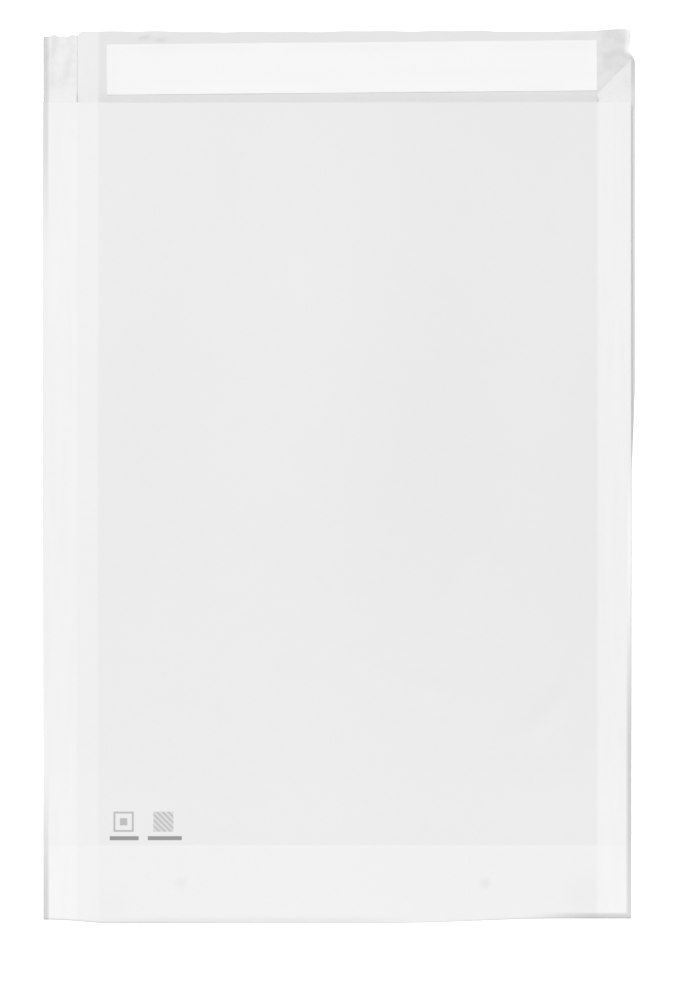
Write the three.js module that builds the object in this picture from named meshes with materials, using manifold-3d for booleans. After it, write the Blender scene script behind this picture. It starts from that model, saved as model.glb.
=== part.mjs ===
// Paper mailing bag, lying face up: a gusseted paper tube with a glued long seam, a bottom that is
// folded under and glued, and a flap with an adhesive strip under a release liner.
// Millimetres, +Z up. X runs across the bag and Y from the folded bottom (-Y) to the flap (+Y).
import * as THREE from 'three';
import { mergeVertices } from 'three/addons/utils/BufferGeometryUtils.js';
import Module from 'manifold-3d';

// Paper and its folds
const PAPER = 0.1; // one ply
const FOLD_RADIUS = 0.12; // of the ply's middle surface at a pressed fold
const FOLD_STEPS = 4; // facets round one fold of a ply

// The made-up tube
const BAG_WIDTH = 250; // between the outer folds
const BODY_LENGTH = 350; // bottom crease to mouth
const FLAP_LENGTH = 30; // mouth to the flap's free edge
const GUSSET_LEAF = 14.5; // depth of each half of a side gusset
const SEAM_LAP = 8.5; // overlap of the long seam
const SEAM_CLEAR = 0.5; // from the gusset's inner fold to the seam
const SEAM_EDGE = 0.1; // run of the step at each edge of the overlap

// The folded bottom
const BOTTOM_FOLD = 32; // strip of flattened tube turned under the back panel
const GLUE_FILM = 0.08; // between that strip and the back panel
const GLUE_SPOT_DIAMETER = 5;
const GLUE_SPOT_SPACING = 130;
const GLUE_SPOT_FROM_CREASE = 17;
const GLUE_SPOT_FACETS = 24;
const CREASE_CLOSED = 1.6; // length glued shut behind the bottom crease

// How the bag lies
const MOUTH_RISE = 7; // the gussets' folds spring this far open at the mouth
const RISE_RUN = 190; // length over which the bag opens, from the bottom crease
const MOUTH_SAG = 1.7; // dip of the front panel between the gussets at the mouth
const SAG_FLAT = 30; // half-width of the level middle of that dip
const PRESSED_GAP = 0.1; // air between the two panels where they are pressed flat
const STEP_RUN_OUT = 34; // length over which the back panel comes down from the folded strip
const FLAP_LEAF_RISE = 0.9; // the gussets' rear leaves lie this high at the flap's free edge

// Cuts at the flap's two corners
const NOTCH_WIDTH = 16;
const NOTCH_DEPTH = 2.3;
const LEAF_CUT_START = 2.5; // beyond the mouth, at the right rear leaf's inner fold
const LEAF_CUT_END = 17.5; // beyond the mouth, at the right outer fold

// Peel-and-seal strip
const ADHESIVE_WIDTH = 12;
const ADHESIVE_FILM = 0.08;
const LINER_PAPER = 0.07;
const LINER_FROM_LEFT = 27; // its margins on the flap, the first two from the outer folds
const LINER_FROM_RIGHT = 14.5;
const LINER_FROM_EDGE = 5;
const LINER_FROM_MOUTH = 3.5;

// Mesh steps
const PANEL_STEPS = 6; // across each half of the dip
const CREASE_STEPS = 6; // facets round the bottom crease
const RUN_OUT_STEPS = 5;
const RISE_STEPS = 7;
const FLAP_STEPS = 3;
const OVERCUT = 2; // how far a cutting body stands past what it cuts

// Places worked out from the sizes above
const EDGE_X = BAG_WIDTH / 2;
const TOTAL_LENGTH = BODY_LENGTH + FLAP_LENGTH;
const CREASE_Y = -TOTAL_LENGTH / 2;
const MOUTH_Y = CREASE_Y + BODY_LENGTH;
const FLAP_Y = MOUTH_Y + FLAP_LENGTH;
const FOLD_OUTER = FOLD_RADIUS + PAPER / 2;
const FOLD_CENTRE_X = EDGE_X - FOLD_OUTER;
const LEAF_X = EDGE_X - GUSSET_LEAF;
const LEAF_FLAT = GUSSET_LEAF - 2 * FOLD_OUTER;
const PLY_PITCH = 2 * FOLD_RADIUS;
const PRESSED_HEIGHT = 3 * PLY_PITCH + PAPER;
const PRESSED_SAG = PRESSED_HEIGHT - 2 * PAPER - PRESSED_GAP;
const STRIP_EDGE_Y = CREASE_Y + BOTTOM_FOLD;
const CAVITY_START_Y = CREASE_Y + CREASE_CLOSED;
const SEAM_OUTER_X = LEAF_X - SEAM_CLEAR;
const SEAM_INNER_X = SEAM_OUTER_X - SEAM_LAP;
const LINER_LENGTH = BAG_WIDTH - LINER_FROM_LEFT - LINER_FROM_RIGHT;
const LINER_WIDTH = FLAP_LENGTH - LINER_FROM_EDGE - LINER_FROM_MOUTH;

const wasm = await Module();
wasm.setup();

const { lerp, smoothstep } = THREE.MathUtils;

function evenSteps(from, to, steps) {
  return Array.from({ length: steps }, (_, i) => lerp(from, to, (i + 1) / steps));
}

// Geometry and solid bodies
function solidOf(geometry) {
  const bare = geometry.clone();
  bare.deleteAttribute('normal');
  bare.deleteAttribute('uv');
  const merged = mergeVertices(bare);
  return new wasm.Manifold(new wasm.Mesh({
    numProp: 3,
    vertProperties: new Float32Array(merged.attributes.position.array),
    triVerts: new Uint32Array(merged.index.array),
  }));
}

function geometryOf(solid) {
  const mesh = solid.getMesh();
  const geometry = new THREE.BufferGeometry();
  geometry.setAttribute('position', new THREE.BufferAttribute(mesh.vertProperties, mesh.numProp));
  geometry.setIndex(new THREE.BufferAttribute(mesh.triVerts, 1));
  geometry.computeVertexNormals();
  return geometry;
}

// Closed surface through loops of equal length, all seen counter-clockwise from behind, along the way
// that the loops go. first and last give a point's place in that view, where the flat ends are filled.
function loft(loops, first, last) {
  const count = loops[0].length;
  const index = [];
  for (let s = 0; s + 1 < loops.length; s += 1) {
    for (let i = 0; i < count; i += 1) {
      const a = s * count + i;
      const b = s * count + ((i + 1) % count);
      index.push(a, a + count, b);
      index.push(b, a + count, b + count);
    }
  }
  const end = (loops.length - 1) * count;
  for (const [a, b, c] of THREE.ShapeUtils.triangulateShape(loops[0].map(first), [])) {
    index.push(a, b, c);
  }
  for (const [a, b, c] of THREE.ShapeUtils.triangulateShape(loops.at(-1).map(last), [])) {
    index.push(end + a, end + c, end + b);
  }
  const geometry = new THREE.BufferGeometry().setFromPoints(loops.flat());
  geometry.setIndex(index);
  return geometry;
}

const upright = (point) => new THREE.Vector2(point.x, point.z);
const upsideDown = (point) => new THREE.Vector2(point.x, -point.z);

// How far the bag is open at y: 0 pressed flat at the bottom crease, 1 at the mouth
function openness(y) {
  return smoothstep(y, CREASE_Y, CREASE_Y + RISE_RUN);
}

// How far y is along the flap: 0 at the mouth, 1 at the free edge
function alongFlap(y) {
  return smoothstep(y, MOUTH_Y, FLAP_Y);
}

// Slope of the gusset leaves at y
function leafTilt(y) {
  const rise = lerp(MOUTH_RISE * openness(y), 2 * FLAP_LEAF_RISE, alongFlap(y));
  return Math.asin(rise / 2 / GUSSET_LEAF);
}

// Share of the front panel's dip at x
function dipShare(x) {
  return 1 - smoothstep(Math.abs(x), SAG_FLAT, LEAF_X);
}

// Thickness of the flattened tube at x: four plies in the gussets, two between them
function pressedHeight(x) {
  return PRESSED_HEIGHT - PRESSED_SAG * dipShare(x);
}

// Height that the folded-under strip gives everything above it
function stripLift(x, y) {
  const down = smoothstep(y, STRIP_EDGE_Y, STRIP_EDGE_Y + STEP_RUN_OUT);
  return (pressedHeight(x) + GLUE_FILM) * (1 - down);
}

// Dip of the front panel, which runs out beyond the mouth, where the panel is cut away
function panelSag(x, y) {
  return lerp(PRESSED_SAG, MOUTH_SAG, openness(y)) * dipShare(x) * (1 - alongFlap(y));
}

// Distances from the centre line at which a panel has points
const PANEL_STOPS = [0, SAG_FLAT, ...evenSteps(SAG_FLAT, LEAF_X, PANEL_STEPS), FOLD_CENTRE_X];
const SEAM_STOPS = [
  { x: SEAM_INNER_X - SEAM_EDGE, plies: 1 },
  { x: SEAM_INNER_X, plies: 2 },
  { x: SEAM_OUTER_X, plies: 2 },
  { x: SEAM_OUTER_X + SEAM_EDGE, plies: 1 },
];

function backPanelStops(hasSeam) {
  const overSeam = (x) => hasSeam && x > SEAM_INNER_X - SEAM_EDGE && x < SEAM_OUTER_X + SEAM_EDGE;
  const stops = PANEL_STOPS.filter((x) => !overSeam(x)).map((x) => ({ x, plies: 1 }));
  return hasSeam ? [...stops, ...SEAM_STOPS].sort((a, b) => a.x - b.x) : stops;
}

// Half of the tube's section at y, followed along the ply's middle surface as the sheet is folded:
// back panel, outer fold, rear leaf, inner fold, front leaf, outer fold, front panel.
function halfSection(y, hasSeam) {
  const tilt = leafTilt(y);
  const path = backPanelStops(hasSeam).map(({ x, plies }) => (
    { x, z: PAPER / 2, heading: 0, plies, front: false }
  ));
  let { x, z } = path.at(-1);
  let heading = 0;
  const follow = () => path.push({ x, z, heading, plies: 1, front: false });
  const fold = (turn) => {
    const side = Math.sign(turn) * FOLD_RADIUS;
    const centreX = x - side * Math.sin(heading);
    const centreZ = z + side * Math.cos(heading);
    for (const part of evenSteps(heading, heading + turn, FOLD_STEPS)) {
      heading = part;
      x = centreX + side * Math.sin(heading);
      z = centreZ - side * Math.cos(heading);
      follow();
    }
  };
  const leaf = () => {
    x += LEAF_FLAT * Math.cos(heading);
    z += LEAF_FLAT * Math.sin(heading);
    follow();
  };
  fold(Math.PI - tilt);
  leaf();
  fold(2 * tilt - Math.PI);
  leaf();
  fold(Math.PI - tilt);
  for (const stop of PANEL_STOPS.slice(0, -1).reverse()) {
    path.push({ x: stop, z, heading: Math.PI, plies: 1, front: true });
  }
  return path;
}

// Where a point x across and height above the back panel's outer face lies at a station. Its turn is half
// a circle on the strip folded under, runs down to nothing round the crease and is nothing from there on.
// Stations of the crease have no y: they stand round its axis, so that the crease's outside is straight.
function placed(x, height, { y, turn }) {
  if (turn === 0) {
    return new THREE.Vector3(x, y, height + stripLift(x, y));
  }
  const radius = height + GLUE_FILM / 2;
  const axisZ = pressedHeight(x) + GLUE_FILM / 2;
  const axisY = y ?? CREASE_Y + axisZ;
  return new THREE.Vector3(x, axisY - radius * Math.sin(turn), axisZ + radius * Math.cos(turn));
}

// Points of one face of the ply. offset is +1 for the outer face and -1 for the inner one.
function facePoints(path, station, offset, mirror) {
  return path.map(({ x, z, heading, plies, front }) => {
    const reach = offset > 0 ? PAPER / 2 : PAPER / 2 - plies * PAPER;
    const faceX = x + reach * Math.sin(heading);
    const faceZ = z - reach * Math.cos(heading);
    const dip = front ? panelSag(faceX, station.section) : 0;
    return placed(mirror * faceX, faceZ - dip, station);
  });
}

// Closed loop round the tube at a station; the long seam is in the left half of the back panel
function tubeLoop(station, offset) {
  const right = facePoints(halfSection(station.section, false), station, offset, 1);
  const left = facePoints(halfSection(station.section, true), station, offset, -1);
  return [...right, ...left.slice(1, -1).reverse()];
}

// Stations from the free edge of the strip folded under, round the crease, all with the pressed section
function foldedStations() {
  const turns = [Math.PI, ...evenSteps(Math.PI, 0, CREASE_STEPS).slice(0, -1)];
  return [
    { y: STRIP_EDGE_Y, section: CREASE_Y, turn: Math.PI },
    ...turns.map((turn) => ({ y: null, section: CREASE_Y, turn })),
  ];
}

// Stations from behind the crease to the end of the flap, each with its own section
function openStations() {
  const places = [
    CAVITY_START_Y,
    STRIP_EDGE_Y,
    ...evenSteps(STRIP_EDGE_Y, STRIP_EDGE_Y + STEP_RUN_OUT, RUN_OUT_STEPS),
    ...evenSteps(STRIP_EDGE_Y + STEP_RUN_OUT, CREASE_Y + RISE_RUN, RISE_STEPS),
    MOUTH_Y,
    ...evenSteps(MOUTH_Y, FLAP_Y, FLAP_STEPS),
  ];
  return places.map((y) => ({ y, section: y, turn: 0 }));
}

// The whole tube, before its front is cut back to the mouth
function tubeSolid() {
  const outside = [...foldedStations(), ...openStations()].map((station) => tubeLoop(station, 1));
  const inside = openStations().map((station) => tubeLoop(station, -1));
  const beyond = inside.at(-1).map((point) => point.clone().setY(FLAP_Y + OVERCUT));
  const cavity = solidOf(loft([...inside, beyond], upright, upright));
  return solidOf(loft(outside, upsideDown, upright)).subtract(cavity);
}

// A spot of glue between the folded strip and the back panel
function glueSpot(x) {
  const height = GLUE_FILM + PAPER;
  const radius = GLUE_SPOT_DIAMETER / 2;
  const spot = new THREE.CylinderGeometry(radius, radius, height, GLUE_SPOT_FACETS);
  spot.rotateX(Math.PI / 2);
  spot.translate(x, CREASE_Y + GLUE_SPOT_FROM_CREASE, pressedHeight(x) + GLUE_FILM / 2);
  return solidOf(spot);
}

// Everything in front of the gussets' inner folds beyond the mouth
function mouthCut() {
  const reach = EDGE_X + OVERCUT;
  const roof = 2 * MOUTH_RISE + OVERCUT;
  const stations = [MOUTH_Y, ...evenSteps(MOUTH_Y, FLAP_Y, FLAP_STEPS)];
  const loops = stations.map((y) => {
    const path = halfSection(y, false);
    const middle = (path[0].z + path.at(-1).z) / 2;
    return [
      new THREE.Vector3(-reach, y, middle),
      new THREE.Vector3(reach, y, middle),
      new THREE.Vector3(reach, y, roof),
      new THREE.Vector3(-reach, y, roof),
    ];
  });
  const beyond = loops.at(-1).map((point) => point.clone().setY(FLAP_Y + OVERCUT));
  return solidOf(loft([...loops, beyond], upright, upright));
}

// The right rear leaf is cut off on a slant, in the gap between it and the back panel
function leafCut() {
  const slope = (LEAF_CUT_END - LEAF_CUT_START) / GUSSET_LEAF;
  const outline = new THREE.Shape([
    new THREE.Vector2(LEAF_X - OVERCUT, MOUTH_Y + LEAF_CUT_START - slope * OVERCUT),
    new THREE.Vector2(EDGE_X + OVERCUT, MOUTH_Y + LEAF_CUT_END + slope * OVERCUT),
    new THREE.Vector2(EDGE_X + OVERCUT, FLAP_Y + OVERCUT),
    new THREE.Vector2(LEAF_X - OVERCUT, FLAP_Y + OVERCUT),
  ]);
  const prism = new THREE.ExtrudeGeometry(outline, { depth: MOUTH_RISE, bevelEnabled: false });
  prism.translate(0, 0, PAPER / 2 + FOLD_RADIUS);
  return solidOf(prism);
}

// The flap's left corner is cut shorter
function cornerNotch() {
  const width = NOTCH_WIDTH + OVERCUT;
  const depth = NOTCH_DEPTH + OVERCUT;
  const block = new THREE.BoxGeometry(width, depth, 2 * MOUTH_RISE);
  block.translate(-EDGE_X + NOTCH_WIDTH - width / 2, FLAP_Y - NOTCH_DEPTH + depth / 2, 0);
  return solidOf(block);
}

function bagBody() {
  const spots = [-1, 1].map((side) => glueSpot((side * GLUE_SPOT_SPACING) / 2));
  const made = spots.reduce((body, spot) => body.add(spot), tubeSolid());
  const cuts = [mouthCut(), leafCut(), cornerNotch()];
  return geometryOf(cuts.reduce((body, cut) => body.subtract(cut), made));
}

// A flat strip on the flap, standing on the height bottom
function flapStrip(width, thickness, bottom) {
  const strip = new THREE.BoxGeometry(LINER_LENGTH, width, thickness);
  const centreX = (LINER_FROM_LEFT - LINER_FROM_RIGHT) / 2;
  const centreY = MOUTH_Y + LINER_FROM_MOUTH + LINER_WIDTH / 2;
  strip.translate(centreX, centreY, bottom + thickness / 2);
  return strip;
}

function piece(name, geometry, look) {
  const mesh = new THREE.Mesh(geometry, new THREE.MeshStandardMaterial({ metalness: 0, ...look }));
  mesh.name = name;
  return mesh;
}

const adhesive = flapStrip(ADHESIVE_WIDTH, ADHESIVE_FILM, PAPER);
const liner = flapStrip(LINER_WIDTH, LINER_PAPER, PAPER + ADHESIVE_FILM);
const bag = new THREE.Group();
bag.add(
  piece('bag_body', bagBody(), { color: 0xebebeb, roughness: 0.75 }),
  piece('adhesive_strip', adhesive, { color: 0xe6e4dc, roughness: 0.35 }),
  piece('release_liner', liner, { color: 0xf7f7f7, roughness: 0.45 }),
);

export default bag;
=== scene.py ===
import math

import bpy
import numpy as np
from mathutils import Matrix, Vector


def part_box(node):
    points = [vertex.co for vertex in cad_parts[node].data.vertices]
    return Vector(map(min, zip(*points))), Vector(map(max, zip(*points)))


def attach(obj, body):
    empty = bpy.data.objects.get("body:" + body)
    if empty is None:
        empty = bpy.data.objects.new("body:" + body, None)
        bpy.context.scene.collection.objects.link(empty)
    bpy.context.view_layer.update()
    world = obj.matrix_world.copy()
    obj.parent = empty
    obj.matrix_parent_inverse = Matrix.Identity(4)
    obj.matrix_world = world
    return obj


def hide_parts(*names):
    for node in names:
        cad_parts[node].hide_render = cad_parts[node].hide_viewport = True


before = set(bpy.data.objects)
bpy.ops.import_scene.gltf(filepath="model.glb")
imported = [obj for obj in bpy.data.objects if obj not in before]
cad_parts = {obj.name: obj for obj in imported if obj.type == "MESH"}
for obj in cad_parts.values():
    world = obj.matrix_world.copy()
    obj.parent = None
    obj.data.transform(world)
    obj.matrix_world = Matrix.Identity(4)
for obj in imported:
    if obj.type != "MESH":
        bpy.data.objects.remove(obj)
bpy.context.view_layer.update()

# Lengths are in millimetres until a mesh, a lamp or the camera is made
MM = 0.001


def node_box(node):
    low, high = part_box(node)
    return np.array(low) / MM, np.array(high) / MM


# The bag's sizes: the outline comes from the frame, and the folds are those of the part
BAG_LOW, BAG_HIGH = node_box("bag_body")
LINER_LOW, LINER_HIGH = node_box("release_liner")
EDGE_X = BAG_HIGH[0]
CREASE_Y = BAG_LOW[1]
FLAP_Y = BAG_HIGH[1]
FLAP_LENGTH = 30.0
MOUTH_Y = FLAP_Y - FLAP_LENGTH
PAPER = 0.1
GUSSET_LEAF = 14.5
LEAF_X = EDGE_X - GUSSET_LEAF
SEAM_CLEAR = 0.5
SEAM_OUTER_X = LEAF_X - SEAM_CLEAR
SEAM_LAP = 8.5
SEAM_INNER_X = SEAM_OUTER_X - SEAM_LAP
GLUE_FILM = 0.08
STEP_RUN_OUT = 34.0
RISE_RUN = 190.0
MOUTH_RISE = 7.0
MOUTH_SAG = 1.7
SAG_FLAT = 30.0
PRESSED_RADIUS = 0.12
PRESSED_GAP = 0.1
PRESSED_HEIGHT = 6 * PRESSED_RADIUS + PAPER
PRESSED_SAG = PRESSED_HEIGHT - 2 * PAPER - PRESSED_GAP
NOTCH_WIDTH = 16.0
NOTCH_DEPTH = 2.3
LEAF_CUT_START = 2.5
LEAF_CUT_END = 17.5

# What this bag shows beyond the plain part: open folds are rounder, the bottom fold is longer, the rear
# right fold stands out past the front one, the mouth and the flap are cut a little short, the left leaf
# lies down sooner, and the bottom crease bows
OPEN_RADIUS = 0.45
BOTTOM_FOLD = 33.2
STRIP_EDGE_Y = CREASE_Y + BOTTOM_FOLD
SEAM_JOG = 2.0
LAP_AIR = 0.02
REAR_PEEK = 1.7
REAR_PEEK_STARTS_Y = (-11.0, 44.0)
REAR_PEEK_ENDS_Y = (MOUTH_Y + 17.0, MOUTH_Y + 24.0)
MOUTH_SHORT = 0.8
MOUTH_SHORT_RUN = 40.0
FLAP_SHORT = 0.6
FLAP_CORNER_LONG = 1.2
FLAP_CORNER_X = (95.0, EDGE_X - 3.0)
RIGHT_LEAF_RISE = 0.9
LEFT_LEAF_RISE = 0.15
LEFT_LEAF_DOWN_BY = 6.0
LEFT_MOUTH_FLATTER = 0.75
LEFT_FLATTER_RUN = 110.0
RISE_SLACK = 0.3
CREASE_BOW_RIGHT = 2.0
CREASE_BOW_RIGHT_X = (22.0, 95.0)
CREASE_BOW_LEFT = 1.5
CREASE_BOW_LEFT_X = (-EDGE_X + 30.0, -EDGE_X + 3.0)
CREASE_BOW_RUN = 90.0

# Mesh steps round the sheet, then its rows from the strip folded under to the flap's edge
FOLD_STEPS = 6
LEAF_STEPS = 12
BACK_STEPS = 112
FRONT_STEPS = 84
LAP_STEPS = 7
LEFT_STEPS = 22
STRIP_ROWS = 6
CREASE_STEPS = 8
PRESSED_ROWS = 10
RUN_OUT_ROWS = 14
BODY_ROWS = 72
MOUTH_ROWS = 3
LEAF_CUT_ROWS = 11
FLAP_ROWS = 17
SHARP_ANGLE = math.radians(42.0)


def smooth(value, low, high):
    """0 at low and 1 at high, with a smooth run between; high may be below low."""
    t = np.clip((np.asarray(value, float) - low) / (high - low), 0.0, 1.0)
    return t * t * (3.0 - 2.0 * t)


def bump_at(value, centre, width):
    return np.exp(-(((np.asarray(value, float) - centre) / width) ** 2))


def lerp(a, b, t):
    return a + (b - a) * t


def wave(place, height, run, phase=0.0):
    return height * np.sin(place / run + phase)


def ripple(x, y, height, run_x, run_y, phase=0.0):
    return height * np.sin(x / run_x + y / run_y + phase)


# How the bag lies: the same rise, dip and step as the part, with small differences along it
def openness(y):
    return smooth(y, CREASE_Y, CREASE_Y + RISE_RUN)


def gusset_rise(y, side):
    """How far a gusset stands open at y; side is 1 on the right and -1 on the left."""
    sway = wave(y, 0.4, 41.0, 1.3 * side) + wave(y, 0.25, 23.0, -0.7 * side)
    rounder = 6 * (OPEN_RADIUS - PRESSED_RADIUS)
    rise = (MOUTH_RISE + sway - RISE_SLACK - rounder) * float(openness(y))
    if side < 0:
        near_mouth = float(smooth(y, MOUTH_Y - LEFT_FLATTER_RUN, MOUTH_Y))
        rise = rise * (1.0 - LEFT_MOUTH_FLATTER * near_mouth)
    lies_by = FLAP_LENGTH if side > 0 else LEFT_LEAF_DOWN_BY
    lies_at = RIGHT_LEAF_RISE if side > 0 else LEFT_LEAF_RISE
    return lerp(rise, lies_at, float(smooth(y, MOUTH_Y, MOUTH_Y + lies_by)))


def rear_peek(y):
    """How far the rear right fold stands out past the front one at y."""
    starts = smooth(y, *REAR_PEEK_STARTS_Y)
    ends = smooth(y, *REAR_PEEK_ENDS_Y)
    return REAR_PEEK * float(starts * (1.0 - ends))


def fold_radius(y):
    opened = lerp(PRESSED_RADIUS, OPEN_RADIUS, float(openness(y)))
    return lerp(opened, PRESSED_RADIUS, float(smooth(y, MOUTH_Y, MOUTH_Y + LEFT_LEAF_DOWN_BY)))


def dip_share(x):
    return 1.0 - smooth(np.abs(x), SAG_FLAT, LEAF_X)


def pressed_height(x):
    return PRESSED_HEIGHT - PRESSED_SAG * dip_share(x)


def strip_lift(x, y):
    """Height that the strip folded under gives to what lies over it."""
    down = smooth(y, STRIP_EDGE_Y, STRIP_EDGE_Y + STEP_RUN_OUT)
    return (pressed_height(x) + GLUE_FILM) * (1.0 - down)


def panel_sag(x, y):
    return lerp(PRESSED_SAG, MOUTH_SAG, openness(y)) * dip_share(x)


# Faint dents in the front panel: place, length, width, slant in degrees and depth
DENTS = (
    (12.0, -78.0, 30.0, 8.0, -35.0, 0.45),
    (40.0, -91.0, 26.0, 8.0, -20.0, 0.45),
    (88.0, -103.0, 24.0, 9.0, 50.0, 0.55),
    (52.0, -42.0, 34.0, 9.0, 75.0, 0.4),
    (-42.0, 118.0, 40.0, 10.0, 85.0, 0.35),
)
SLACK_ENDS_X = (85.0, EDGE_X - 4.0)


def dent(x, y, at_x, at_y, length, width, slant, depth):
    cosine = math.cos(math.radians(slant))
    sine = math.sin(math.radians(slant))
    along_it = (x - at_x) * cosine + (y - at_y) * sine
    across_it = (y - at_y) * cosine - (x - at_x) * sine
    return depth * bump_at(along_it, 0.0, length / 2) * bump_at(across_it, 0.0, width / 2)


def panel_waves(x, y):
    """Slack of the front panel, which dies out at its folds and where it is pressed, and its dents."""
    loose = openness(y) * (1.0 - smooth(np.abs(x), *SLACK_ENDS_X))
    slow = ripple(x, y, 0.35, 31.0, 67.0, 0.4) + ripple(x, y, 0.3, 19.0, -45.0, 2.1)
    quick = ripple(x, y, 0.12, 9.0, 13.0) * ripple(x, y, 1.0, -29.0, 17.0, 0.8)
    dents = sum(dent(x, y, *shape) for shape in DENTS)
    return loose * (slow + quick) - dents


# The folded section
def fold_arc(x, z, heading, turn, radius):
    angles = heading + turn * np.arange(1, FOLD_STEPS + 1) / FOLD_STEPS
    side = math.copysign(radius, turn)
    centre_x = x - side * math.sin(heading)
    centre_z = z + side * math.cos(heading)
    return centre_x + side * np.sin(angles), centre_z - side * np.cos(angles), angles


def straight(x, z, heading, length):
    reach = length * np.arange(1, LEAF_STEPS + 1) / LEAF_STEPS
    headings = np.full(LEAF_STEPS, heading)
    return x + reach * math.cos(heading), z + reach * math.sin(heading), headings


def gusset(rise, peek, radius):
    """One side of the section, from the back panel's fold round the gusset to the front panel: its
    points and headings as for the right side, and where it starts."""
    outer = radius + PAPER / 2
    start = EDGE_X + peek - outer
    rear_leaf = GUSSET_LEAF - 2 * outer + peek
    front_leaf = GUSSET_LEAF - 2 * outer
    rear_tilt = math.asin(rise / 2 / (GUSSET_LEAF + peek))
    front_tilt = math.asin(rise / 2 / GUSSET_LEAF)
    steps = (
        (fold_arc, math.pi - rear_tilt, radius),
        (straight, rear_leaf),
        (fold_arc, rear_tilt + front_tilt - math.pi, radius),
        (straight, front_leaf),
        (fold_arc, math.pi - front_tilt, radius),
    )
    end = (start, PAPER / 2, 0.0)
    runs = []
    for make, *amounts in steps:
        runs.append(np.array(make(*end, *amounts)))
        end = runs[-1][:, -1]
    return np.concatenate(runs, axis=1), start


def closer_at_ends(start, end, steps):
    """Places from start to end, close together at both ends and wider apart between."""
    share = np.linspace(0.0, 1.0, steps)
    share = share - 0.65 * np.sin(2 * math.pi * share) / (2 * math.pi)
    return lerp(start, end, share)


def section(y):
    """The sheet's middle line at y, from the lap's free edge right round to the edge under it: x, height,
    and the way that its outer face looks."""
    right, right_start = gusset(gusset_rise(y, 1), rear_peek(y), fold_radius(y))
    left, left_start = gusset(gusset_rise(y, -1), 0.0, fold_radius(y))
    lap_x = np.linspace(-SEAM_OUTER_X, -SEAM_INNER_X, LAP_STEPS)
    back_x = closer_at_ends(-SEAM_INNER_X + SEAM_JOG, right_start, BACK_STEPS)
    rest_x = np.linspace(-left_start, -SEAM_INNER_X, LEFT_STEPS)
    front_x = closer_at_ends(right[0, -1], -left[0, -1], FRONT_STEPS)[1:-1]
    front_z = closer_at_ends(right[1, -1], left[1, -1], FRONT_STEPS)[1:-1]
    front_z = front_z - panel_sag(front_x, y) + panel_waves(front_x, y)
    flat = np.zeros_like
    back_z = PAPER / 2
    lap_z = back_z + PAPER + LAP_AIR
    parts = [
        (lap_x, flat(lap_x) + lap_z, flat(lap_x)),
        (back_x, flat(back_x) + back_z, flat(back_x)),
        (right[0], right[1], right[2]),
        (front_x, front_z, flat(front_x) + math.pi),
        (-left[0, ::-1], left[1, ::-1], -left[2, ::-1]),
        (rest_x, flat(rest_x) + back_z, flat(rest_x)),
    ]
    x, z, heading = (np.concatenate(values) for values in zip(*parts))
    return x, z, np.sin(heading), -np.cos(heading)


# Column numbers where the section changes
GUSSET_POINTS = 3 * FOLD_STEPS + 2 * LEAF_STEPS
INNER_FOLD = FOLD_STEPS + LEAF_STEPS + FOLD_STEPS // 2
RIGHT_START = LAP_STEPS + BACK_STEPS
FRONT_START = RIGHT_START + GUSSET_POINTS
LEFT_START = FRONT_START + FRONT_STEPS - 2
REST_START = LEFT_START + GUSSET_POINTS
COLUMNS = REST_START + LEFT_STEPS
RIGHT_INNER = RIGHT_START + INNER_FOLD
LEFT_INNER = LEFT_START + GUSSET_POINTS - 1 - INNER_FOLD
COLUMN = np.arange(COLUMNS)
IN_FRONT = (COLUMN > RIGHT_INNER) & (COLUMN < LEFT_INNER)
RIGHT_LEAF = (COLUMN >= RIGHT_START) & (COLUMN <= RIGHT_INNER)


def stations():
    """Rows of the sheet from the strip folded under, round the crease and up to the flap's edge, as
    (place along the bag, or None round the crease; turn; whose section it has)."""
    run_out_end = STRIP_EDGE_Y + STEP_RUN_OUT
    leaf_end = MOUTH_Y + LEAF_CUT_END
    folded = np.linspace(STRIP_EDGE_Y, CREASE_Y + 2.0, STRIP_ROWS)
    rows = [(y, math.pi, CREASE_Y) for y in folded]
    rows += [(None, turn, CREASE_Y) for turn in np.linspace(math.pi, 0.0, CREASE_STEPS + 1)]
    places = np.concatenate([
        np.linspace(CREASE_Y + 1.6, STRIP_EDGE_Y - 4.0, PRESSED_ROWS),
        np.linspace(STRIP_EDGE_Y - 2.0, run_out_end, RUN_OUT_ROWS),
        np.linspace(run_out_end, MOUTH_Y - 6.0, BODY_ROWS)[1:],
        np.linspace(MOUTH_Y - 4.0, MOUTH_Y, MOUTH_ROWS),
        np.linspace(MOUTH_Y, leaf_end, LEAF_CUT_ROWS)[1:],
        np.linspace(leaf_end, FLAP_Y, FLAP_ROWS)[1:],
    ])
    return rows + [(y, 0.0, y) for y in places]


# The sheet's cut edges, its crease and its crumples
def crease_bow(x):
    """How far the bottom crease lies inside its straight line at x."""
    right = CREASE_BOW_RIGHT * smooth(x, *CREASE_BOW_RIGHT_X)
    left = CREASE_BOW_LEFT * smooth(x, *CREASE_BOW_LEFT_X)
    return right + left


def flap_edge(x):
    """Where the flap's free edge lies at x: not quite straight, longer at the right corner and cut
    shorter on the left."""
    end = FLAP_Y - FLAP_SHORT + FLAP_CORNER_LONG * smooth(x, *FLAP_CORNER_X)
    ragged = wave(x, 0.12, 7.0) + wave(x, 0.1, 3.1, 1.0) + wave(x, 0.2, 26.0)
    notch_end = -EDGE_X + NOTCH_WIDTH
    in_notch = 1.0 - smooth(x, notch_end - 2.5, notch_end + 0.5)
    crumbs = wave(x, 0.35, 1.3) + wave(x, 0.3, 0.62, 1.0)
    return end + ragged + in_notch * (crumbs - NOTCH_DEPTH)


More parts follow.
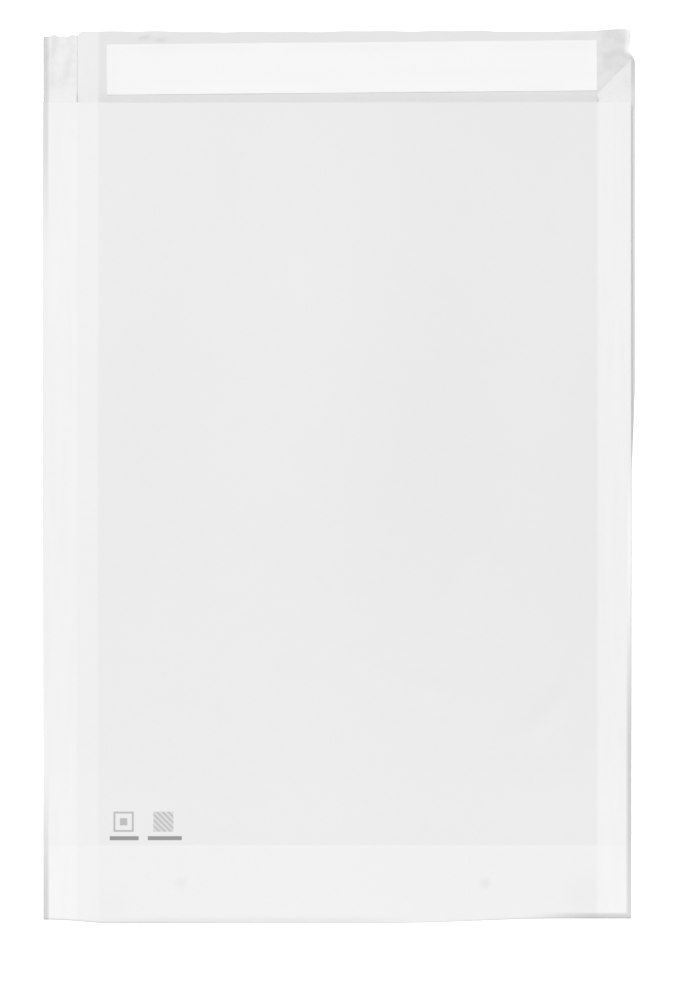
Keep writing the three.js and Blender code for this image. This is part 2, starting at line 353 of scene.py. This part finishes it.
def along(x, station_y):
    """Places along the bag of one row's points, with the cuts at the mouth and the flap."""
    if station_y <= MOUTH_Y:
        near_mouth = smooth(station_y, MOUTH_Y - MOUTH_SHORT_RUN, MOUTH_Y)
        cut = wave(x, 0.25, 37.0, 0.6) + wave(x, 0.12, 11.0) - MOUTH_SHORT
        near_crease = 1.0 - smooth(station_y, CREASE_Y, CREASE_Y + CREASE_BOW_RUN)
        return station_y + np.where(IN_FRONT, near_mouth * cut, 0.0) + near_crease * crease_bow(x)
    share = (station_y - MOUTH_Y) / FLAP_LENGTH
    end = np.where(RIGHT_LEAF, flap_edge(EDGE_X), flap_edge(x))
    across = np.clip((EDGE_X - x) / GUSSET_LEAF, 0.0, 1.0)
    slanted = lerp(1.0, LEAF_CUT_START / LEAF_CUT_END, across)
    return MOUTH_Y + share * (end - MOUTH_Y) * np.where(RIGHT_LEAF, slanted, 1.0)


# Small pinches in the flap above the liner: place, width and height
PINCHES = (
    (-82.5, 187.6, 1.7, 1.0),
    (-75.5, 186.8, 1.9, 0.9),
    (-79.0, 188.6, 2.6, 0.3),
    (101.0, 188.2, 3.0, 0.35),
)

# The flap's two crumpled corners: where each starts and is full, and the crease across the right one
RIGHT_CRUMPLE_X = (111.0, 119.0)
RIGHT_CRUMPLE_Y = (MOUTH_Y + 12.0, MOUTH_Y + 18.0)
LEFT_CRUMPLE_X = (-111.0, -119.0)
LEFT_CRUMPLE_Y = (MOUTH_Y + 3.0, MOUTH_Y + 12.0)
CORNER_CREASE_Y = MOUTH_Y + 21.0
CORNER_CREASE_WIDTH = 2.6
CORNER_CREASE_SHIFT = -1.3


def flap_crumples(x, y):
    """Lift and sideways shift of the flap's two crumpled corners and of the pinches along its edge."""
    right = smooth(x, *RIGHT_CRUMPLE_X) * smooth(y, *RIGHT_CRUMPLE_Y)
    crease = bump_at(y, CORNER_CREASE_Y, CORNER_CREASE_WIDTH)
    turned_up = bump_at(y, FLAP_Y, 3.0)
    ripples = ripple(x, y, 0.3, 1.7, 2.3) + ripple(x, y, 0.25, 2.9, -1.9, 1.0)
    lift = right * (0.7 * crease + 0.8 * turned_up + ripples + 0.3)
    left = smooth(x, *LEFT_CRUMPLE_X) * smooth(y, *LEFT_CRUMPLE_Y)
    pleats = np.sin(x / 1.1 + wave(y, 0.9, 5.0)) + ripple(x, y, 0.7, 1.9, -3.1)
    lift = lift + left * (0.5 + 0.3 * pleats)
    for at_x, at_y, width, height in PINCHES:
        lift = lift + height * bump_at(x, at_x, width) * bump_at(y, at_y, width * 0.7)
    return np.maximum(lift, 0.0), CORNER_CREASE_SHIFT * right * crease


def placed(x, height, row):
    """Where points x across and height above the back panel's outer face lie in a row of the sheet."""
    station_y, turn, _ = row
    if turn == 0.0 and station_y is not None:
        y = along(x, station_y)
        lift, shift = flap_crumples(x, y) if station_y > MOUTH_Y else (0.0, 0.0)
        return np.stack([x + shift, y, height + strip_lift(x, y) + lift], axis=1)
    radius = height + GLUE_FILM / 2
    axis_z = pressed_height(x) + GLUE_FILM / 2
    axis_y = (CREASE_Y + axis_z if station_y is None else station_y) + crease_bow(x)
    return np.stack([x, axis_y - radius * math.sin(turn), axis_z + radius * math.cos(turn)], axis=1)


# Meshes
def sheet_faces(rows):
    """Which cells of the grid of rows and columns are paper: no front panel or front leaves beyond the
    mouth, and no right rear leaf beyond its slanted cut."""
    paper = np.ones((len(rows) - 1, COLUMNS - 1), bool)
    hair = 1e-6
    half_fold = FOLD_STEPS // 2
    for r in range(len(rows) - 1):
        upper = rows[r + 1][0]
        if upper is None or rows[r][1] != 0.0:
            continue
        if upper > MOUTH_Y + hair:
            paper[r, RIGHT_INNER - half_fold:LEFT_INNER + half_fold] = False
        if upper > MOUTH_Y + LEAF_CUT_END + hair:
            paper[r, RIGHT_START - 1:RIGHT_INNER] = False
    return paper


def thick_sheet(outer, inner, paper):
    """Vertices and faces of a closed sheet from its two faces' points and its grid of cells, and each
    vertex's number among those points."""
    count = outer.shape[0] * outer.shape[1]
    number = np.arange(count).reshape(outer.shape[:2])
    faces = []
    edges = {}
    for r, c in np.argwhere(paper):
        ring = [number[r, c], number[r, c + 1], number[r + 1, c + 1], number[r + 1, c]]
        faces.append(ring[::-1])
        faces.append([v + count for v in ring])
        for a, b in zip(ring, ring[1:] + ring[:1]):
            if (b, a) in edges:
                del edges[b, a]
            else:
                edges[a, b] = True
    faces += [[a, b, b + count, a + count] for a, b in edges]
    vertices = np.concatenate([outer.reshape(-1, 3), inner.reshape(-1, 3)])
    used = np.unique(np.concatenate([np.asarray(face) for face in faces]))
    renumber = np.full(len(vertices), -1)
    renumber[used] = np.arange(len(used))
    return vertices[used], [[int(renumber[v]) for v in face] for face in faces], used


def mesh_object(name, vertices, faces, material):
    mesh = bpy.data.meshes.new(name)
    mesh.from_pydata((vertices * MM).tolist(), [], faces)
    mesh.shade_smooth()
    mesh.set_sharp_from_angle(angle=SHARP_ANGLE)
    mesh.materials.append(material)
    piece = bpy.data.objects.new(name, mesh)
    bpy.context.scene.collection.objects.link(piece)
    return piece


def bag_sheet(material):
    rows = stations()
    outer = []
    inner = []
    for row in rows:
        x, z, look_x, look_z = section(row[2])
        for points, reach in ((outer, PAPER / 2), (inner, -PAPER / 2)):
            points.append(placed(x + reach * look_x, z + reach * look_z, row))
    vertices, faces, used = thick_sheet(np.array(outer), np.array(inner), sheet_faces(rows))
    piece = mesh_object("mailing_bag", vertices, faces, material)
    mark_printed_face(piece, used, len(rows) * COLUMNS)
    return piece


def mark_printed_face(piece, used, outer_count):
    """Marks the outer face of the front panel, which is the one that is printed."""
    column = used % outer_count % COLUMNS
    front = (column >= FRONT_START) & (column < LEFT_START) & (used < outer_count)
    printed = piece.data.attributes.new("printed_face", "FLOAT", "POINT")
    printed.data.foreach_set("value", front.astype(np.float32))


# The release liner: a strip of coated paper whose edges stand off the flap beyond the adhesive
LINER_TURN = math.radians(0.5)
LINER_SHIFT_Y = -0.25
LINER_ROWS = 18
LINER_COLUMNS = 130
LINER_FREE_EDGE = (0.55, 1.0)
LINER_FREE_END = (0.965, 1.0)


def liner_strip(material):
    centre = (LINER_LOW + LINER_HIGH) / 2
    half_x, half_y, half_z = (LINER_HIGH - LINER_LOW) / 2
    across, up = np.meshgrid(np.linspace(-1, 1, LINER_COLUMNS), np.linspace(-1, 1, LINER_ROWS))
    x = across * half_x
    y = up * half_y
    free_edge = smooth(np.abs(up), *LINER_FREE_EDGE)
    free_end = smooth(np.abs(across), *LINER_FREE_END)
    curl = 0.16 + ripple(x, up, 0.08, 13.0, 1.0) + wave(x, 0.05, 4.7)
    stand_off = free_edge * curl + free_end * 0.18
    cosine = math.cos(LINER_TURN)
    sine = math.sin(LINER_TURN)
    turned_x = centre[0] + x * cosine - y * sine
    turned_y = centre[1] + LINER_SHIFT_Y + x * sine + y * cosine
    top = np.stack([turned_x, turned_y, centre[2] + half_z + stand_off], axis=2)
    under = top - np.array([0.0, 0.0, 2 * half_z])
    paper = np.ones((LINER_ROWS - 1, LINER_COLUMNS - 1), bool)
    vertices, faces, _ = thick_sheet(under, top, paper)
    return mesh_object("liner_strip", vertices, faces, material)


class Graph:
    """A material's nodes, written as sums and masks of sockets and numbers. Places are in millimetres."""

    def __init__(self, name):
        self.material = bpy.data.materials.new(name)
        self.material.use_nodes = True
        self.tree = self.material.node_tree
        self.shader = self.tree.nodes["Principled BSDF"]
        self.place = self.node("ShaderNodeTexCoord").outputs["Object"]
        split = self.node("ShaderNodeSeparateXYZ", {"Vector": self.place})
        self.x = self.times(split.outputs[0], 1.0 / MM)
        self.y = self.times(split.outputs[1], 1.0 / MM)

    def node(self, kind, inputs=None, **settings):
        node = self.tree.nodes.new(kind)
        for key, value in settings.items():
            setattr(node, key, value)
        for key, value in (inputs or {}).items():
            self.feed(node.inputs[key], value)
        return node

    def feed(self, socket, value):
        if isinstance(value, bpy.types.NodeSocket):
            self.tree.links.new(value, socket)
        else:
            socket.default_value = value

    def math(self, operation, a, b=0.0):
        return self.node("ShaderNodeMath", {0: a, 1: b}, operation=operation).outputs[0]

    def add(self, *terms):
        total = terms[0]
        for term in terms[1:]:
            total = self.math("ADD", total, term)
        return total

    def times(self, *terms):
        total = terms[0]
        for term in terms[1:]:
            total = self.math("MULTIPLY", total, term)
        return total

    def minus(self, a, b):
        return self.math("SUBTRACT", a, b)

    def most(self, *terms):
        total = terms[0]
        for term in terms[1:]:
            total = self.math("MAXIMUM", total, term)
        return total

    def step(self, value, low, high):
        """0 below low, 1 above high and a smooth run between; falls instead of rising if high < low."""
        falls = high < low
        ends = {"From Min": high, "From Max": low} if falls else {"From Min": low, "From Max": high}
        outs = {"To Min": 1.0, "To Max": 0.0} if falls else {"To Min": 0.0, "To Max": 1.0}
        node = self.node("ShaderNodeMapRange", {"Value": value, **ends, **outs})
        node.interpolation_type = "SMOOTHSTEP"
        return node.outputs["Result"]

    def ramp(self, value, low, high, amount):
        """The step from low to high, times an amount."""
        return self.times(self.step(value, low, high), amount)

    def band(self, value, low, high, soft):
        rise = self.step(value, low - soft / 2, low + soft / 2)
        fall = self.step(value, high + soft / 2, high - soft / 2)
        return self.times(rise, fall)

    def distance(self, x, y):
        dx = self.minus(self.x, x)
        dy = self.minus(self.y, y)
        return self.math("SQRT", self.add(self.times(dx, dx), self.times(dy, dy)))

    def square_distance(self, x, y):
        dx = self.math("ABSOLUTE", self.minus(self.x, x))
        dy = self.math("ABSOLUTE", self.minus(self.y, y))
        return self.most(dx, dy)

    def blend(self, base, other, share):
        """base where share is 0, other where it is 1."""
        node = self.node("ShaderNodeMix", {"Factor": share, "A": base, "B": other}, data_type="FLOAT")
        return node.outputs["Result"]

    def noise(self, size, stretch=(1.0, 1.0, 1.0), detail=3.0, rough=0.55):
        """Noise from -1 to 1 with lumps of about the given size in millimetres."""
        scale = tuple(s / (size * MM) for s in stretch)
        spread = self.node("ShaderNodeMapping", {"Vector": self.place, "Scale": scale})
        node = self.node(
            "ShaderNodeTexNoise",
            {"Vector": spread.outputs[0], "Scale": 1.0, "Detail": detail, "Roughness": rough},
        )
        return self.add(self.times(node.outputs[0], 2.0), -1.0)

    def bump(self, height, strength, distance):
        inputs = {"Height": height, "Strength": strength, "Distance": distance * MM}
        node = self.node("ShaderNodeBump", inputs)
        self.feed(self.shader.inputs["Normal"], node.outputs["Normal"])

    def finish(self, level, roughness, specular):
        """The material, coloured by a display level between about 150 and 255."""
        linear = self.math("POWER", self.times(level, 1.0 / 255.0), DISPLAY_CURVE)
        self.feed(self.shader.inputs["Base Color"], linear)
        self.feed(self.shader.inputs["Roughness"], roughness)
        self.shader.inputs["Specular IOR Level"].default_value = specular
        return self.material


# Exponent that comes close to the display curve for pale levels
DISPLAY_CURVE = 2.235

# Display levels of the body's paper: the more plies lie over each other, the lighter it is
TONE_LEFT_HALF = 236.0
TONE_RIGHT_HALF = 233.4
HALVES_X = (-20.0, 50.0)
TONE_SEAM = 241.1
TONE_LEFT_GUSSET = 243.2
TONE_RIGHT_GUSSET = 241.2
LOWER_PART_Y = (0.0, -140.0)
LOWER_GAIN_LEFT = 1.6
LOWER_GAIN_RIGHT = 3.0
LOWER_GAIN_LEFT_GUSSET = 1.4
LOWER_GAIN_RIGHT_GUSSET = 2.3
STRIP_GAIN = 4.7
STRIP_GAIN_AT_SIDES = 2.4
STRIP_EDGE_GAIN = 1.2


def ply_tone(g):
    """Level of the bag's body at each place, by how many plies lie there, with its right half darker and its
    lower part lighter.
    """
    right_half = g.step(g.x, *HALVES_X)
    lower = g.step(g.y, *LOWER_PART_Y)
    level = g.blend(TONE_LEFT_HALF, TONE_RIGHT_HALF, right_half)
    level = g.add(level, g.times(lower, g.blend(LOWER_GAIN_LEFT, LOWER_GAIN_RIGHT, right_half)))
    level = g.blend(level, TONE_SEAM, g.step(g.x, -SEAM_INNER_X + 0.8, -SEAM_INNER_X - 0.8))
    left_gusset = g.add(TONE_LEFT_GUSSET, g.times(lower, LOWER_GAIN_LEFT_GUSSET))
    level = g.blend(level, left_gusset, g.step(g.x, -LEAF_X + 0.9, -LEAF_X - 0.9))
    right_gusset = g.add(TONE_RIGHT_GUSSET, g.times(lower, LOWER_GAIN_RIGHT_GUSSET))
    level = g.blend(level, right_gusset, g.step(g.x, LEAF_X - 0.9, LEAF_X + 0.9))
    strip = g.step(g.y, STRIP_EDGE_Y + 0.6, STRIP_EDGE_Y - 0.6)
    between = g.band(g.x, -SEAM_INNER_X, LEAF_X, 2.0)
    level = g.add(level, g.times(strip, g.blend(STRIP_GAIN_AT_SIDES, STRIP_GAIN, between)))
    strip_edge = g.band(g.y, STRIP_EDGE_Y - 1.2, STRIP_EDGE_Y - 0.2, 0.8)
    return g.add(level, g.times(strip_edge, between, STRIP_EDGE_GAIN))


# Display levels of the flap, where fewer plies lie over each other
TONE_ONE_PLY = 229.4
TONE_FLAP_SEAM = 238.0
TONE_FLAP_LEFT_LEAF = 236.6
TONE_FLAP_RIGHT_LEAF = 234.5
# The right corner is set darker than one ply: painted shade of its crumple over the one ply's tone
TONE_FLAP_RIGHT_CORNER = 222.5
TONE_FLAP_RIGHT_EDGE = 246.0
MOUTH_SHADE = 3.0


def flap_tone(g):
    """Level of the flap at each place, with painted shade along the mouth."""
    level = g.blend(TONE_ONE_PLY, TONE_FLAP_SEAM, g.step(g.x, -SEAM_INNER_X + 0.8, -SEAM_INNER_X - 0.8))
    level = g.blend(level, TONE_FLAP_LEFT_LEAF, g.step(g.x, -LEAF_X + 0.8, -LEAF_X - 0.8))
    # Painted shade in the crumpled right corner
    corner_x = g.step(g.x, LEAF_X - 0.5, LEAF_X + 4.0)
    corner_y = g.step(g.y, MOUTH_Y + 8.0, MOUTH_Y + 15.0)
    level = g.blend(level, TONE_FLAP_RIGHT_CORNER, g.times(corner_x, corner_y))
    edge_x = g.step(g.x, EDGE_X - 3.4, EDGE_X - 1.0)
    edge_y = g.step(g.y, MOUTH_Y + 18.0, MOUTH_Y + 21.0)
    level = g.blend(level, TONE_FLAP_RIGHT_EDGE, g.times(edge_x, edge_y))
    slope = (LEAF_CUT_END - LEAF_CUT_START) / GUSSET_LEAF
    cut_y = g.add(g.times(g.minus(g.x, LEAF_X), slope), MOUTH_Y + LEAF_CUT_START)
    below_cut = g.step(g.minus(g.y, cut_y), 0.6, -0.6)
    right_leaf = g.times(below_cut, g.step(g.x, LEAF_X - 0.5, LEAF_X + 0.5))
    level = g.blend(level, TONE_FLAP_RIGHT_LEAF, right_leaf)
    # Painted shade along the mouth, between the seam and the right leaf
    by_mouth = g.step(g.y, MOUTH_Y + 5.0, MOUTH_Y + 1.0)
    between = g.band(g.x, -SEAM_INNER_X, LEAF_X, 4.0)
    return g.minus(level, g.times(by_mouth, between, MOUTH_SHADE))


# Painted shade: dark lines along the bag's outer folds, as the photo shows them, and along the rear right fold
# where it lies in a painted shadow of the front fold: each fades in from its first place to its second. A loss
# along a line is where it starts, where it is full, and its levels
LEFT_LINE_X = (-EDGE_X + 3.0, -EDGE_X + 1.4)
LEFT_LOSS = 1.0
UPPER_LEFT_LOSS = (85.0, 150.0, 22.0)
LOWER_LEFT_LOSS = (-120.0, -185.0, 32.0)
RIGHT_LINE_X = (EDGE_X - 2.6, EDGE_X - 1.0)
LOWER_RIGHT_LOSS = (-50.0, -120.0, 34.0)
LOWEST_RIGHT_LOSS = (-145.0, -185.0, -8.0)
REAR_LINE_X = (EDGE_X - 0.4, EDGE_X + 0.5)
REAR_LINE_Y = (MOUTH_Y - 3.0, MOUTH_Y + 18.0)
REAR_LOSS = 14.0
UPPER_REAR_LOSS = (MOUTH_Y + 3.0, MOUTH_Y + 10.0, 12.0)
BOTTOM_LINE = (3.0, 1.4)
BOTTOM_LEFT_X = (-92.0, 20.0)
BOTTOM_LEFT_LOSS = 7.0
BOTTOM_RIGHT_LOSS = (78.0, 112.0, 31.0)

# A stretch of the right edge that is lighter instead: painted light, which lifts the fold's own shade there
BRIGHT_EDGE_X = (EDGE_X - 2.4, EDGE_X - 0.8)
BRIGHT_EDGE_Y = (-46.0, -6.0)
PAINTED_LIGHT_EDGE_LOSS = -8.0

# Faint grey corners of the strip folded under: place, size and levels lost
STRIP_SHADES = (
    (105.0, -178.0, 15.0, 2.6),
    (-96.0, -183.0, 13.0, 2.6),
)


# Painted shade along the side folds, with a painted shadow on the rear right fold beside the front one
def painted_side_shade(g):
    along_left = g.add(g.ramp(g.y, *UPPER_LEFT_LOSS), g.ramp(g.y, *LOWER_LEFT_LOSS), LEFT_LOSS)
    left = g.times(g.step(g.x, *LEFT_LINE_X), along_left)
    along_right = g.add(g.ramp(g.y, *LOWER_RIGHT_LOSS), g.ramp(g.y, *LOWEST_RIGHT_LOSS))
    right = g.times(g.step(g.x, *RIGHT_LINE_X), along_right)
    along_rear = g.add(g.ramp(g.y, *UPPER_REAR_LOSS), REAR_LOSS)
    rear = g.times(g.step(g.x, *REAR_LINE_X), g.band(g.y, *REAR_LINE_Y, 3.0), along_rear)
    return g.most(left, right, rear)


# Painted shade along the bottom crease, which follows its bow
def painted_bottom_shade(g):
    bow_right = g.ramp(g.x, *CREASE_BOW_RIGHT_X, CREASE_BOW_RIGHT)
    bow_left = g.ramp(g.x, *CREASE_BOW_LEFT_X, CREASE_BOW_LEFT)
    from_crease = g.minus(g.y, g.add(bow_right, bow_left, CREASE_Y))
    left = g.times(g.band(g.x, *BOTTOM_LEFT_X, 34.0), BOTTOM_LEFT_LOSS)
    return g.times(g.step(from_crease, *BOTTOM_LINE), g.add(left, g.ramp(g.x, *BOTTOM_RIGHT_LOSS)))


def edge_losses(g):
    """Levels lost to painted shade along the folds at the bag's sides and bottom, less a stretch of painted
    light on the right edge, and in the corners of the strip.
    """
    lines = g.most(painted_side_shade(g), painted_bottom_shade(g))
    bright_y = g.band(g.y, *BRIGHT_EDGE_Y, 24.0)
    painted_light_edge = g.times(g.step(g.x, *BRIGHT_EDGE_X), bright_y, PAINTED_LIGHT_EDGE_LOSS)
    shades = [g.ramp(g.distance(x, y), size, 0.0, loss) for x, y, size, loss in STRIP_SHADES]
    return g.add(lines, painted_light_edge, *shades)


# Glue spots of the strip, which show through: place and levels lost
GLUE_SPOTS = ((-66.5, -172.7, 4.5), (63.0, -173.1, 6.0))
GLUE_SPOT_EDGE = (3.6, 1.0)

# Plain printed patches at the lower left of the front, with a bar under each
PATCH_Y = -146.8
FRAMED_PATCH_X = -90.8
RULED_PATCH_X = -73.9
PATCH_HALF = 4.4
FRAME_LINE = (PATCH_HALF - 0.9, PATCH_HALF - 0.1)
FRAME_CORE = (1.7, 1.4)
PATCH_INK = 0.55
RULE_RADIANS_PER_MM = 2.6
BAR_Y = -153.8
BAR_HALF_HEIGHT = 0.85
BARS_X = ((-96.7, -84.4), (-80.5, -66.1))
PRINT_EDGE = 0.3
INK_LEVEL = 150.0


def print_share(g):
    """How much ink lies at each place of the printed face."""
    framed = g.square_distance(FRAMED_PATCH_X, PATCH_Y)
    framed_patch = g.add(g.band(framed, *FRAME_LINE, PRINT_EDGE), g.step(framed, *FRAME_CORE))
    ruled = g.square_distance(RULED_PATCH_X, PATCH_Y)
    rules = g.step(g.math("SINE", g.times(g.add(g.x, g.y), RULE_RADIANS_PER_MM)), -0.2, 0.2)
    ruled_patch = g.times(g.step(ruled, PATCH_HALF, PATCH_HALF - PRINT_EDGE), g.blend(0.35, 0.9, rules))
    bar_row = g.band(g.y, BAR_Y - BAR_HALF_HEIGHT, BAR_Y + BAR_HALF_HEIGHT, PRINT_EDGE)
    bars = g.add(*(g.band(g.x, low, high, PRINT_EDGE) for low, high in BARS_X))
    patches = g.times(g.add(framed_patch, ruled_patch), PATCH_INK)
    marks = g.math("MINIMUM", g.add(patches, g.times(bar_row, bars)), 1.0)
    front = g.node("ShaderNodeAttribute", attribute_name="printed_face").outputs["Fac"]
    return g.times(marks, g.step(front, 0.4, 0.6))


# How many levels each kind of unevenness moves the paper's tone
CLOUD_LEVELS = 1.3
FIBRE_LEVELS = 0.9
STREAK_LEVELS = 2.4
MOTTLE_LEVELS = 9.0
FELT_LEVELS = 1.1
SPECK_LEVELS = -5.0


def paper_material():
    g = Graph("white_bag_paper")
    # The flap's levels start a little short of the mouth's cut, so the front panel's cut edge takes a thin
    # dark line of them, painted shade at the mouth's edge
    mouth_cut = MOUTH_Y - MOUTH_SHORT - 0.2
    beyond_mouth = g.step(g.y, mouth_cut - 0.3, mouth_cut + 0.1)
    level = g.blend(ply_tone(g), flap_tone(g), beyond_mouth)
    for x, y, loss in GLUE_SPOTS:
        level = g.minus(level, g.ramp(g.distance(x, y), *GLUE_SPOT_EDGE, loss))
    from_middle = g.math("ABSOLUTE", g.x)
    in_gusset = g.step(from_middle, LEAF_X - 2.0, LEAF_X + 1.0)
    in_corner = g.times(g.step(from_middle, LEAF_X - 4.0, LEAF_X + 2.0), g.step(g.y, MOUTH_Y, MOUTH_Y + 10.0))
    clouds = g.noise(9.0, detail=4.0)
    mottle = g.noise(3.2, detail=3.0)
    fibres = g.noise(0.9, stretch=(1.0, 0.35, 1.0), detail=2.0)
    streaks = g.noise(2.6, stretch=(1.0, 0.06, 1.0), detail=2.0)
    level = g.add(level, g.times(clouds, CLOUD_LEVELS), g.times(fibres, FIBRE_LEVELS))
    level = g.add(level, g.times(streaks, in_gusset, STREAK_LEVELS), g.times(mottle, in_corner, MOTTLE_LEVELS))
    level = g.blend(g.minus(level, edge_losses(g)), INK_LEVEL, print_share(g))
    felt = g.noise(0.28, stretch=(1.0, 0.4, 1.0), detail=3.0)
    crossing = g.noise(0.32, stretch=(0.25, 1.0, 1.0), detail=2.0)
    specks = g.step(g.times(felt, crossing), 0.1, 0.3)
    level = g.add(level, g.times(felt, FELT_LEVELS), g.times(specks, SPECK_LEVELS))
    grain = g.add(g.times(fibres, 0.5), g.times(felt, 0.35), g.times(crossing, 0.25))
    g.bump(grain, strength=0.4, distance=0.04)
    roughness = g.add(0.62, g.times(clouds, 0.06), g.times(felt, 0.04))
    return g.finish(level, roughness, specular=0.28)


TONE_LINER = 244.8


def liner_material():
    g = Graph("coated_liner_paper")
    streaks = g.noise(3.0, stretch=(0.08, 1.0, 1.0), detail=2.0)
    clouds = g.noise(14.0, detail=3.0)
    level = g.add(TONE_LINER, g.times(streaks, 0.9), g.times(clouds, 0.8))
    g.bump(g.add(streaks, g.noise(0.6)), strength=0.1, distance=0.02)
    roughness = g.add(0.5, g.times(clouds, 0.06))
    return g.finish(level, roughness, specular=0.25)


TONE_ADHESIVE = 226.0


def adhesive_material():
    g = Graph("tacky_adhesive")
    lumps = g.noise(1.6, detail=4.0)
    level = g.add(TONE_ADHESIVE, g.times(lumps, 5.0))
    g.bump(lumps, strength=0.5, distance=0.05)
    return g.finish(level, g.add(0.25, g.times(lumps, 0.08)), specular=0.5)


# Stage, light and camera
WHITE = (1.0, 1.0, 1.0, 1.0)
FLOOR_SIZE = 8000.0
FLOOR_DROP = 0.06
FLOOR_COLOUR = (0.9, 0.9, 0.9, 1.0)
FLOOR_GLOW = 0.5
WORLD_LIGHT = 0.322
SUN_STRENGTH = 2.11
SUN_SOFTNESS = math.radians(24.0)
SUN_FROM = (-0.13, 0.22, 1.0)
PHOTO_MM_PER_PIXEL = 0.4255
PHOTO_HEIGHT = 1000
VIEW_CENTRE = (1.2, -10.0)
CAMERA_HEIGHT = 3000.0
CAMERA_REACH = 100000.0
SENSOR = 36.0


def camera_white(tree, lit, white):
    """A shader that shows white to the camera and to mirrors, and lit to everything else."""
    path = tree.nodes.new("ShaderNodeLightPath")
    seen = path.outputs["Is Camera Ray"]
    for ray in ("Is Glossy Ray", "Is Transmission Ray"):
        either = tree.nodes.new("ShaderNodeMath")
        either.operation = "MAXIMUM"
        tree.links.new(seen, either.inputs[0])
        tree.links.new(path.outputs[ray], either.inputs[1])
        seen = either.outputs[0]
    mix = tree.nodes.new("ShaderNodeMixShader")
    tree.links.new(seen, mix.inputs[0])
    tree.links.new(lit, mix.inputs[1])
    tree.links.new(white, mix.inputs[2])
    return mix.outputs[0]


def floor_material():
    """A pale floor that glows a little to the camera, so that only the bag's own shadow shows on it."""
    material = bpy.data.materials.new("pale_floor")
    material.use_nodes = True
    tree = material.node_tree
    tree.nodes.remove(tree.nodes["Principled BSDF"])
    diffuse = tree.nodes.new("ShaderNodeBsdfDiffuse")
    diffuse.inputs["Color"].default_value = FLOOR_COLOUR
    glow = tree.nodes.new("ShaderNodeEmission")
    glow.inputs["Strength"].default_value = FLOOR_GLOW
    both = tree.nodes.new("ShaderNodeAddShader")
    tree.links.new(diffuse.outputs[0], both.inputs[0])
    tree.links.new(glow.outputs[0], both.inputs[1])
    shown = camera_white(tree, diffuse.outputs[0], both.outputs[0])
    tree.links.new(shown, tree.nodes["Material Output"].inputs["Surface"])
    return material


def add_stage():
    half = FLOOR_SIZE / 2 * MM
    corners = [(-half, -half), (half, -half), (half, half), (-half, half)]
    mesh = bpy.data.meshes.new("floor")
    mesh.from_pydata([(x, y, -FLOOR_DROP * MM) for x, y in corners], [], [(0, 1, 2, 3)])
    mesh.materials.append(floor_material())
    floor = bpy.data.objects.new("floor", mesh)
    bpy.context.scene.collection.objects.link(floor)


def add_world():
    world = bpy.data.worlds.new("studio")
    bpy.context.scene.world = world
    world.use_nodes = True
    tree = world.node_tree
    lit = tree.nodes["Background"]
    lit.inputs["Color"].default_value = WHITE
    lit.inputs["Strength"].default_value = WORLD_LIGHT
    white = tree.nodes.new("ShaderNodeBackground")
    white.inputs["Color"].default_value = WHITE
    white.inputs["Strength"].default_value = 1.0
    shown = camera_white(tree, lit.outputs[0], white.outputs[0])
    tree.links.new(shown, tree.nodes["World Output"].inputs["Surface"])


def add_lamp():
    lamp = bpy.data.lights.new("soft_key", "SUN")
    lamp.energy = SUN_STRENGTH
    lamp.angle = SUN_SOFTNESS
    key = bpy.data.objects.new("soft_key", lamp)
    key.rotation_euler = Vector(SUN_FROM).to_track_quat("Z", "Y").to_euler()
    bpy.context.scene.collection.objects.link(key)


def add_camera():
    scene = bpy.context.scene
    lens = bpy.data.cameras.new("photo_camera")
    lens.sensor_fit = "VERTICAL"
    lens.sensor_height = SENSOR
    lens.lens = SENSOR * CAMERA_HEIGHT / (PHOTO_HEIGHT * PHOTO_MM_PER_PIXEL)
    lens.clip_end = CAMERA_REACH * MM
    camera = bpy.data.objects.new("photo_camera", lens)
    camera.location = (VIEW_CENTRE[0] * MM, VIEW_CENTRE[1] * MM, CAMERA_HEIGHT * MM)
    scene.collection.objects.link(camera)
    scene.camera = camera
    scene.view_settings.view_transform = "Standard"


add_camera()
add_world()
add_lamp()
add_stage()

bag = bag_sheet(paper_material())
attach(bag, "root")
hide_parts("bag_body")

liner = liner_strip(liner_material())
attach(liner, "root")
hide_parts("release_liner")

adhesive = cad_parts["adhesive_strip"]
adhesive.data.materials.clear()
adhesive.data.materials.append(adhesive_material())
